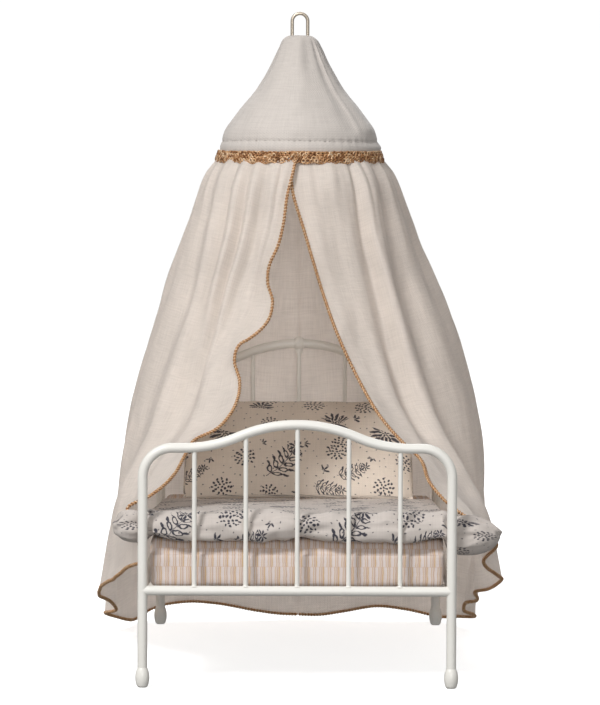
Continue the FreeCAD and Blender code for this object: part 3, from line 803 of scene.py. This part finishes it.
# The bell's outline as radius and height, from its rim to its top.
BELL = ((34.2, RIM_Z), (34.8, 215.5), (34.9, 217.5), (34.2, 219.4), (34, 220.4), (33.1, 223.8),
        (29.4, 229.5), (24.7, 235.6), (19.8, 241.3), (15.4, 248.3), (11.9, 254.8), (8.9, 261.2),
        (7.4, 264.2), (5.4, 265.7), (2.5, 266), (0.05, 266.1))
BELL_CLOTH = 0.6
BELL_FLAT_RADIUS = 23.8
BELL_ROWS = 110
BELL_COLUMNS = 240
STITCH_Z = 220.0
SEAM_BEARING = math.radians(52)


def bell_grid():
    """Outer points of the bell, rows from the rim to the top."""
    profile = smooth_path(BELL, BELL_ROWS)
    bearing = math.pi + np.linspace(0, TURN, BELL_COLUMNS, endpoint=False)[None, :]
    radius = profile[:, :1] + 0 * bearing
    height = profile[:, 1:] + 0 * bearing
    off = np.angle(np.exp(1j * (bearing - SEAM_BEARING)))
    body = smooth_step(221, 226, height) * smooth_step(0, 6, radius - 5)
    seam = 0.55 * bump(off, 0, 0.045) - 0.5 * bump(off, -0.14, 0.1) + 0.35 * bump(off, 0.25, 0.12)
    waves = 0.3 * np.cos(3 * bearing + 1) + 0.25 * np.cos(7 * bearing + 0.05 * height)
    radius = radius + body * (seam + waves + 0.15 * np.cos(11 * bearing))
    pucker = np.cos(58 * bearing + 2 * np.sin(5 * bearing)) * bump(height, STITCH_Z, 1.6)
    radius = radius + 0.16 * pucker - 0.45 * bump(height, STITCH_Z, 0.5)
    radius = radius + 0.9 * bump(off, math.radians(34), 0.35) * bump(height, 217.3, 1.8)
    height = height + 0.35 * np.cos(2 * bearing + 0.6) * bump(height, 217, 5)
    grid = round_axis(radius, bearing, height)
    return grid + 0.22 * grid_normals(grid, ring=True) * ripple(grid, (5, 5, 12), 4)[..., None]


def bell_piece():
    """The bell as one closed cloth shell, open below."""
    outer = bell_grid()
    normals = grid_normals(outer, ring=True)
    from_axis = outer[2, 0] - np.array((0, AXIS_Y, outer[2, 0, 2]))
    inner = outer - BELL_CLOTH * normals * np.sign(np.dot(normals[2, 0], from_axis))
    flat = np.zeros_like(outer)
    flat[..., 0] = BELL_FLAT_RADIUS * np.linspace(0, TURN, BELL_COLUMNS)
    flat[..., 1] = distances(outer[:, 0])[:, None]
    return thin_sheet("canopy_bell", outer, inner, flat, ring=True)


bell = bell_piece()
finish_piece(bell, bell_cotton)
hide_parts("canopy_cone")
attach(bell, "canopy")


# ---- lace, knot and stitches

LACE_RADIUS = 35.35
LACE_TOP = 215.3
LACE_LOW = 211.3
LACE_FLARE = 0.36
SCALLOPS = 38
BAND_STEPS = 180
STITCHES = 96


def lace_radius(height):
    """The band stands out more towards its lower edge, over the gathers."""
    return LACE_RADIUS + LACE_FLARE * (LACE_TOP - height)


def lace_row(bundle, count, height, radius, wire, start=0.0):
    """A row of crochet rings round the hoop."""
    bearing = (np.arange(count) + start) * TURN / count
    radii = lace_radius(height) + chance.uniform(-0.12, 0.2, count)
    centres = round_axis(radii, bearing, height + chance.uniform(-0.15, 0.15, count))
    out = unit(round_axis(1.0, bearing, 0.0) - np.array((0, AXIS_Y, 0)))
    up = unit(np.array((0, 0, 1.0)) + chance.uniform(-0.35, 0.35, (count, 3)))
    across = unit(np.cross(up, out) + 0.2 * chance.standard_normal((count, 3)))
    sizes = radius * chance.uniform(0.85, 1.15, count)
    add_rings(bundle, centres, across, unit(np.cross(out, across)), sizes, wire)


def lace_piece():
    """A crochet band: a cord at its top edge, rows of rings, and scallops below."""
    lace = Bundle()
    bearing = np.linspace(0, TURN, 700, endpoint=False)
    top_edge = round_axis(LACE_RADIUS, bearing, LACE_TOP + 0.15 * np.cos(9 * bearing))
    add_rope(lace, top_edge, 0.5, closed=True, sides=8)
    scallop = np.abs(np.sin(SCALLOPS / 2 * bearing))
    low_edge = round_axis(lace_radius(LACE_LOW) + 0.1, bearing, LACE_LOW - 0.9 * scallop)
    add_rope(lace, low_edge, 0.38, pitch=1.4, closed=True, sides=8)
    for level, (count, start) in enumerate(((124, 0), (130, 0.5), (118, 0.2), (126, 0.7))):
        lace_row(lace, count, LACE_LOW + 0.4 + level * 0.98, 0.78, 0.38, start)
    band = np.linspace(0, TURN, BAND_STEPS, endpoint=False)
    low = lace_radius(LACE_LOW) - 0.2
    section = ((low - 0.4, LACE_LOW + 0.2), (low, LACE_LOW + 0.2), (35.15, LACE_TOP), (34.75, LACE_TOP))
    rings = np.stack([round_axis(r, band, z) for r, z in section], 1)
    # Painted shade: the band behind the rings has its second flat place at 0.5, where the gold's painted
    # strand shade is darkest.
    lace.add(rings, looped_faces(BAND_STEPS, 4), rings * (1, 0, 0) + (0, 0.5, 0))
    return lace.piece("lace_crochet")


def knot_piece():
    """A small rosette of thread loops where the ends of the lace meet."""
    knot = Bundle()
    centre = round_axis(36.5, np.array(math.radians(-2)), 213.0)
    count = 9
    angle = np.arange(count) * TURN / count
    centres = centre + np.stack((1.35 * np.cos(angle), -0.25 + 0 * angle, 1.5 * np.sin(angle)), -1)
    across = unit(np.stack((np.cos(angle), -0.5 + 0 * angle, np.sin(angle)), -1))
    up = unit(np.stack((-np.sin(angle), 0.25 + 0 * angle, np.cos(angle)), -1))
    add_rings(knot, centres, across, up, np.full(count, 0.8), 0.34, around=12, sides=7)
    turns = np.linspace(0, TURN, 160, endpoint=False)
    reach = 0.75 + 0.3 * np.cos(5 * turns)
    forward = -0.75 + 0.35 * np.sin(5 * turns)
    wound = np.stack((np.cos(2 * turns) * reach, forward, np.sin(2 * turns) * reach), -1)
    add_rope(knot, centre + wound, 0.36, closed=True, sides=8)
    return knot.piece("lace_rosette")


def stitch_piece():
    """Running stitches along the hoop's channel in the bell."""
    stitches = Bundle()
    for k in range(STITCHES):
        bearing = np.linspace(k - 0.3, k + 0.3, 6) * TURN / STITCHES
        arch = np.array((-0.45, 0.02, 0.12, 0.12, 0.02, -0.45))
        tilt = 0.35 * np.cos(2 * bearing + 0.6)
        path = round_axis(33.75 + arch, bearing, STITCH_Z + 0.1 + tilt + 0.12 * math.sin(3.3 * k))
        add_rope(stitches, path, 0.16, sides=6)
    return stitches.piece("channel_stitches")


lace = lace_piece()
finish_piece(lace, gold)
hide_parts("lace_band")
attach(lace, "canopy")
rosette = knot_piece()
finish_piece(rosette, gold)
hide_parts("lace_knot")
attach(rosette, "canopy")
stitches = stitch_piece()
finish_piece(stitches, bell_cotton)
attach(stitches, "canopy")


# ---- mattress

MATTRESS_STEP = 1.7
FRONT_DROP = 5.6
FRONT_SET_BACK = 2.2


def box_net(low, high, step):
    """Points and quads of a fine grid over the faces of a cuboid."""
    counts = [max(2, int(round(side / step))) for side in high - low]
    index, points, faces = {}, [], []

    def corner(place):
        if place not in index:
            index[place] = len(points)
            points.append(low + np.array(place) / counts * (high - low))
        return index[place]

    for axis in range(3):
        a, b = [k for k in range(3) if k != axis]
        for end in (0, counts[axis]):
            for p, q in np.ndindex(counts[a], counts[b]):
                face = []
                for dp, dq in ((0, 0), (1, 0), (1, 1), (0, 1)):
                    place = [end] * 3
                    place[a], place[b] = p + dp, q + dq
                    face.append(corner(tuple(place)))
                faces.append(face)
    return np.array(points), faces


def padded_box(points, low, high, corner, crown, ease):
    """The points of a cuboid with its corners rounded and its faces crowned."""
    core = np.clip(points, low + corner, high - corner)
    away = points - core
    rounded = core + unit(away) * np.minimum(np.max(np.abs(away), 1, keepdims=True), corner)
    share = (rounded - low) / (high - low) * 2 - 1
    swell = 1 - share**2
    for axis in range(3):
        a, b = [k for k in range(3) if k != axis]
        crowned = crown * np.sqrt(np.maximum(swell[:, a] * swell[:, b], 0))
        rounded[:, axis] += share[:, axis] * (crowned - ease[axis])
    return rounded


mattress_low, mattress_high = (np.array(corner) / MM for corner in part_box("mattress"))
square, faces = box_net(mattress_low, mattress_high, MATTRESS_STEP)
rounded = padded_box(square, mattress_low, mattress_high, corner=2.2, crown=0.5, ease=(0.1, 0.3, 0.4))
front_top = bump(rounded[:, 2], mattress_high[2], 4.5) * bump(rounded[:, 1], mattress_low[1], 5)
rounded[:, 2] -= FRONT_DROP * front_top
rounded[:, 1] += 1.2 * front_top + FRONT_SET_BACK * bump(rounded[:, 1], mattress_low[1], 6)
dents = ripple(rounded, (14, 14, 7), 8) * 0.4 + ripple(rounded, (5, 5, 5), 9) * 0.15
inward = rounded - np.clip(rounded, mattress_low + 6, mattress_high - 6)
rounded = rounded - unit(inward) * dents[:, None]
height = square[:, 2] - mattress_low[2]
facing_y = np.minimum(square[:, 1] - mattress_low[1], mattress_high[1] - square[:, 1]) < 1e-3
facing_x = np.minimum(square[:, 0] - mattress_low[0], mattress_high[0] - square[:, 0]) < 1e-3
across = np.where(facing_x & ~facing_y, square[:, 1], square[:, 0])
on_top = (height > mattress_high[2] - mattress_low[2] - 1e-3) & ~facing_x & ~facing_y
up = np.where(on_top, height + square[:, 1] - mattress_low[1], height)
mattress = make_piece("mattress_pad", rounded, faces, np.column_stack((across, up + 5.4, 0 * up)))
finish_piece(mattress, ticking)
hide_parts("mattress")
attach(mattress, "mattress")


# ---- quilt

# The quilt's section as y and height, from its head end under to the front and back over the top.
QUILT_BODY = (
    (43, 61), (41.6, 60.3), (36, 60.15), (0, 60.1), (-50, 60.1), (-88, 60.1), (-96, 60.1), (-101.5, 59.9),
    (-104.4, 59.6), (-106.1, 61.2), (-106.5, 64), (-105, 67.8), (-101, 70.2), (-96.5, 70), (-92, 68.1),
    (-88.5, 66.9), (-84, 66.8), (-60, 67.2), (-30, 66.5), (7, 64.5), (30, 62.9), (40.6, 62.1),
)
QUILT_AROUND = 260
QUILT_SIDE = 58.5
LOBE_ROOT = 62.6
LOBE_Y = -95.6
LEFT_TIP = -74.6
RIGHT_TIP = 82.6
# How far the lower front edge hangs below its straight line, as x and drop.
SAG = ((-61.5, 2), (-50, 0.6), (-36, -0.8), (-15, -0.8), (0, 0.4), (15, -0.6), (35, -0.6), (48, -1.5),
       (56, 0.5), (61.5, 2))
BAR_PLACES = (-41.6, -20.8, 0, 20.8, 41.6)


def quilt_piece():
    """A puffy quilt: a closed section swept across the bed, drawn in to a lobe past each post."""
    around = QUILT_AROUND
    body = smooth_path((*QUILT_BODY, QUILT_BODY[0]), around + 1)[:-1]
    fraction = distances(np.vstack((body, body[:1])))[:-1]
    turned = ((0, 0.3, 0.44, 0.5, 0.56, 0.7, 1), (0, 0.14, 0.3, 0.5, 0.66, 0.86, 1))
    lobe_turn = -TURN * through(*turned, fraction / (fraction[-1] + 0.6))
    ring = np.stack((np.cos(lobe_turn), np.sin(lobe_turn)), -1)
    across = np.concatenate((
        LEFT_TIP + (-LOBE_ROOT - LEFT_TIP) * np.linspace(0, 1, 30, endpoint=False) ** 1.6,
        np.linspace(-LOBE_ROOT, -QUILT_SIDE, 24, endpoint=False),
        np.linspace(-QUILT_SIDE, QUILT_SIDE, 120, endpoint=False),
        np.linspace(QUILT_SIDE, LOBE_ROOT, 24, endpoint=False),
        RIGHT_TIP + (LOBE_ROOT - RIGHT_TIP) * np.linspace(1, 0, 40) ** 1.6,
    ))
    sag = through(*zip(*SAG), across)
    rows, flats = [], []
    for x, drop in zip(across, sag):
        out = smooth_step(QUILT_SIDE, LOBE_ROOT, abs(x))
        tip, radius, centre_z = (RIGHT_TIP, 7.9, 61.0 - 0.05 * (x - 64)) if x > 0 else (LEFT_TIP, 6.9, 64.5)
        past = np.clip((abs(x) - LOBE_ROOT) / (abs(tip) - LOBE_ROOT), 0, 1)
        neck = 1 - 0.14 * bump(abs(x), LOBE_ROOT + 0.6, 1.6)
        lobe = np.array((LOBE_Y, centre_z)) + radius * math.sqrt(max(1e-4, 1 - past**3.2)) * neck * ring
        section = body * (1 - out) + lobe * out
        hang = smooth_step(63, 60, section[:, 1]) * smooth_step(-92, -101, section[:, 0]) * (1 - out)
        height = section[:, 1] + drop * hang
        lean = 0.25 * (height - centre_z) * past * (x > 0)
        rows.append(np.column_stack((x + lean, section[:, 0], height)))
        flats.append(np.column_stack((np.full(around, x - 11), fraction + 38.3, np.zeros(around))))
    grid, flat = np.stack(rows), np.stack(flats)
    outward = grid_normals(grid, ring=True)
    middle = len(across) // 2
    top = int(np.argmax(body[:, 1]))
    outward = outward * np.sign(outward[middle, top, 2])
    near_front = smooth_step(-70, -92, grid[..., 1])
    lumps = ripple(grid, (15, 14, 12), 11) * 1.8 + ripple(grid, (6, 5, 5), 12) * 1.1
    creases = ripple(grid, (24, 2.6, 3.2), 13) * 1.5 + ripple(grid, (8, 1.8, 2.2), 14) * 0.9
    creases = creases * smooth_step(-64, -84, grid[..., 1])
    free = smooth_step(60.3, 61.5, grid[..., 2] + 4 * smooth_step(-99, -103, grid[..., 1]))
    offset = lumps * (0.22 + 0.78 * near_front) + creases * smooth_step(60.5, 63, grid[..., 2])
    offset = offset * (0.15 + 0.85 * free)
    for bar in BAR_PLACES:
        pinch = bump(grid[..., 0], bar + 0.8, 1.9) * smooth_step(-99, -104, grid[..., 1])
        offset = offset - (0.35 + 1.1 * bump(grid[..., 2], 66.5, 2)) * pinch
    offset = offset - 0.5 * near_front * (grid[..., 1] < -103)
    grid = grid + outward * offset[..., None]
    return make_piece("quilt_padded", grid, tube_faces(len(across), around), flat)


quilt = quilt_piece()
finish_piece(quilt, quilt_linen_painted_shade)
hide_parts("quilt_foot", "quilt_head")
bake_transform(quilt)


# ---- pillow

PILLOW_WIDTH = 104.0
PILLOW_LENGTH = 60.0
PILLOW_THICK = 14.0
PILLOW_FOOT = (44.6, 61.3)
PILLOW_LEAN = math.radians(44)
PILLOW_STEP = 1.5
PILLOW_PRESSURE = 2.0
PILLOW_FRAMES = 24
DRAWN_IN = 0.12
BIG = 10.0
CLOTH_SETTINGS = {
    "quality": 6, "mass": 0.25, "tension_stiffness": 25, "compression_stiffness": 25,
    "shear_stiffness": 8, "bending_stiffness": 0.15, "air_damping": 4, "use_pressure": True,
}


def envelope(width, length, step):
    """Two layers of flat cloth sewn together round the edge, a little apart in the middle."""
    columns, rows = int(width / step), int(length / step)
    x = np.linspace(-width / 2, width / 2, columns + 1)
    y = np.linspace(0, length, rows + 1)
    points, faces, flat, index = [], [], [], {}
    for layer in (1, -1):
        for j in range(rows + 1):
            for i in range(columns + 1):
                rim = i in (0, columns) or j in (0, rows)
                if rim and layer < 0:
                    index[layer, i, j] = index[1, i, j]
                    continue
                index[layer, i, j] = len(points)
                points.append((x[i], y[j], 0 if rim else 0.4 * layer))
                flat.append((x[i] + (0 if layer > 0 else 17), y[j], 0))
        for j in range(rows):
            for i in range(columns):
                around = ((i, j), (i + 1, j), (i + 1, j + 1), (i, j + 1))
                faces.append([index[layer, a, b] for a, b in around])
    return np.array(points), faces, np.array(flat)


def inflate(points, faces, pressure, frames):
    """Lets air into a closed cloth, at ten times its size, and returns where its points come to rest."""
    balloon = make_piece("pillow_balloon", points * BIG, faces)
    cloth = balloon.modifiers.new("cloth", "CLOTH")
    for name, value in {**CLOTH_SETTINGS, "uniform_pressure_force": pressure}.items():
        setattr(cloth.settings, name, value)
    cloth.settings.effector_weights.gravity = 0
    cloth.point_cache.frame_start = 1
    cloth.point_cache.frame_end = frames
    for frame_number in range(1, frames + 1):
        scene.frame_set(frame_number)
    settled = balloon.evaluated_get(bpy.context.evaluated_depsgraph_get())
    result = np.array([v.co for v in settled.data.vertices]) / MM / BIG
    mesh = balloon.data
    bpy.data.objects.remove(balloon)
    bpy.data.meshes.remove(mesh)
    scene.frame_set(1)
    return result


def pillow_piece():
    """A stuffed pillow of two sewn layers, leaning on the head end."""
    points, faces, flat = envelope(PILLOW_WIDTH, PILLOW_LENGTH, PILLOW_STEP)
    cut = points - np.array((0, PILLOW_LENGTH / 2, 0))
    full = inflate(cut, faces, PILLOW_PRESSURE, PILLOW_FRAMES)
    full -= (full.min(0) + full.max(0)) / 2
    drawn_in = (full - cut) * (1, 1, 0)
    thick = full[:, 2] / np.abs(full[:, 2]).max()
    thick = np.sign(thick) * np.abs(thick) ** 0.75 * PILLOW_THICK / 2
    inside = cut + DRAWN_IN * drawn_in
    up = inside[:, 1] + PILLOW_LENGTH / 2
    lean, rise = math.cos(PILLOW_LEAN), math.sin(PILLOW_LEAN)
    y = PILLOW_FOOT[0] + up * lean - thick * rise
    z = PILLOW_FOOT[1] + up * rise + thick * lean
    return make_piece("pillow_stuffed", np.column_stack((inside[:, 0], y, z)), faces, flat)


pillow = pillow_piece()
pillow.modifiers.new("smooth", "SUBSURF").levels = 1
pillow.modifiers["smooth"].render_levels = 1
finish_piece(pillow, pillow_linen_painted_light)
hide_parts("pillow")
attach(pillow, "pillow")


# ---- welds

BAR_RADIUS = 0.95
FLARE_RINGS = 6
FLARE_SIDES = 14


def add_flare(bundle, base, direction, reach, spread):
    """A small fillet of weld where a bar meets a tube."""
    axis = unit(np.array(direction, float))
    side = unit(np.cross(axis, (0.3, 1, 0.2)))
    other = np.cross(axis, side)
    turn = np.arange(FLARE_SIDES) * TURN / FLARE_SIDES
    rings = []
    for t in np.linspace(0, 1, FLARE_RINGS):
        radius = BAR_RADIUS - 0.12 + (spread + 0.12) * (1 - math.sqrt(1 - (1 - t) ** 2))
        rings.append(np.array(base) + axis * reach * t + radius * (
            np.cos(turn)[:, None] * side + np.sin(turn)[:, None] * other))
    bundle.add(np.concatenate(rings), tube_faces(FLARE_RINGS, FLARE_SIDES))


welds = Bundle()
for end in ("footboard", "headboard"):
    rail_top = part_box(f"{end}_lower_rail")[1].z / MM
    for number in range(1, 6):
        low, high = (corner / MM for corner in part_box(f"{end}_bar_{number}"))
        x, y = (low.x + high.x) / 2, (low.y + high.y) / 2
        add_flare(welds, (x, y, rail_top - 0.35), (0, 0, 1), 1.5, 0.7)
welds = welds.piece("bar_welds")
finish_piece(welds, enamel)
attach(welds, "bed_frame")


# ---- floor, light and camera

FLOOR_HALF = 8.0

# A direction's axis, two values along it, and the light's strength at each.
WHITE_WALL = (1, 0.975, 0.985, 0.0, 1.02)
GREY_DOME = (2, -0.4, 0.5, 0.2, 0.35)


def floor_piece():
    """A wide pale floor under the object."""
    mesh = bpy.data.meshes.new("floor")
    corners = [(x * FLOOR_HALF, y * FLOOR_HALF, 0) for x, y in ((-1, -1), (1, -1), (1, 1), (-1, 1))]
    mesh.from_pydata(corners, [], [(0, 1, 2, 3)])
    floor = bpy.data.objects.new("floor", mesh)
    scene.collection.objects.link(floor)
    look = Look("floor")
    speck = look.grain(look.position(), 0.02, 2.0)
    look.dress(Base_Color=look.mix(speck, (0.90, 0.90, 0.90), (0.92, 0.92, 0.92)), Roughness=0.9)
    look.dress(Emission_Color=(1, 1, 1, 1), Emission_Strength=0.72)
    mesh.materials.append(look.material)
    floor.visible_diffuse = False
    floor.visible_glossy = False


def light_piece(name, place, aim, width, height, watts):
    """A soft box that faces a point."""
    data = bpy.data.lights.new(name, "AREA")
    data.shape = "RECTANGLE"
    data.size, data.size_y = width, height
    data.energy = watts
    lamp = bpy.data.objects.new(name, data)
    scene.collection.objects.link(lamp)
    lamp.location = place
    lamp.rotation_euler = (Vector(aim) - Vector(place)).to_track_quat("-Z", "Y").to_euler()


def sky():
    """A soft grey surround, darker below, with a white wall behind the object."""
    world = bpy.data.worlds.new("surround")
    world.use_nodes = True
    scene.world = world
    nodes, links = world.node_tree.nodes, world.node_tree.links
    place = nodes.new("ShaderNodeTexCoord")
    parts = nodes.new("ShaderNodeSeparateXYZ")
    links.new(place.outputs["Generated"], parts.inputs[0])
    brighter = nodes.new("ShaderNodeMath")
    brighter.operation = "MAXIMUM"
    for k, (axis, *levels) in enumerate((WHITE_WALL, GREY_DOME)):
        light = nodes.new("ShaderNodeMapRange")
        links.new(parts.outputs[axis], light.inputs["Value"])
        for name, value in zip(("From Min", "From Max", "To Min", "To Max"), levels):
            light.inputs[name].default_value = value
        links.new(light.outputs[0], brighter.inputs[k])
    links.new(brighter.outputs[0], nodes["Background"].inputs["Strength"])
    nodes["Background"].inputs["Color"].default_value = (1, 1, 1, 1)


floor_piece()
sky()
light_piece("key", (-0.9, -1.4, 1.6), (0, 0, 0.12), 0.5, 0.5, 33)
light_piece("front", (0.1, -2.4, 0.5), (0, 0, 0.12), 0.6, 0.6, 12)
light_piece("back", (0.1, 1.3, 1.2), (0, 0.05, 0.2), 1.0, 0.6, 8)

CAMERA_PLACE = (4.0, -1723.2, 235.0)
PITCH, YAW, ROLL = (math.radians(a) for a in (3.505, 0.112, 0.218))
camera_data = bpy.data.cameras.new("camera")
camera_data.lens = 205.2
camera_data.sensor_width = 36.0
camera_data.clip_start = 0.05
camera_data.clip_end = 40.0
camera = bpy.data.objects.new("camera", camera_data)
scene.collection.objects.link(camera)
camera.matrix_world = (
    Matrix.Translation(Vector(CAMERA_PLACE) * MM)
    @ Matrix.Rotation(YAW, 4, "Z")
    @ Matrix.Rotation(math.pi / 2 - PITCH, 4, "X")
    @ Matrix.Rotation(ROLL, 4, "Z")
)
scene.camera = camera
scene.view_settings.view_transform = "Standard"
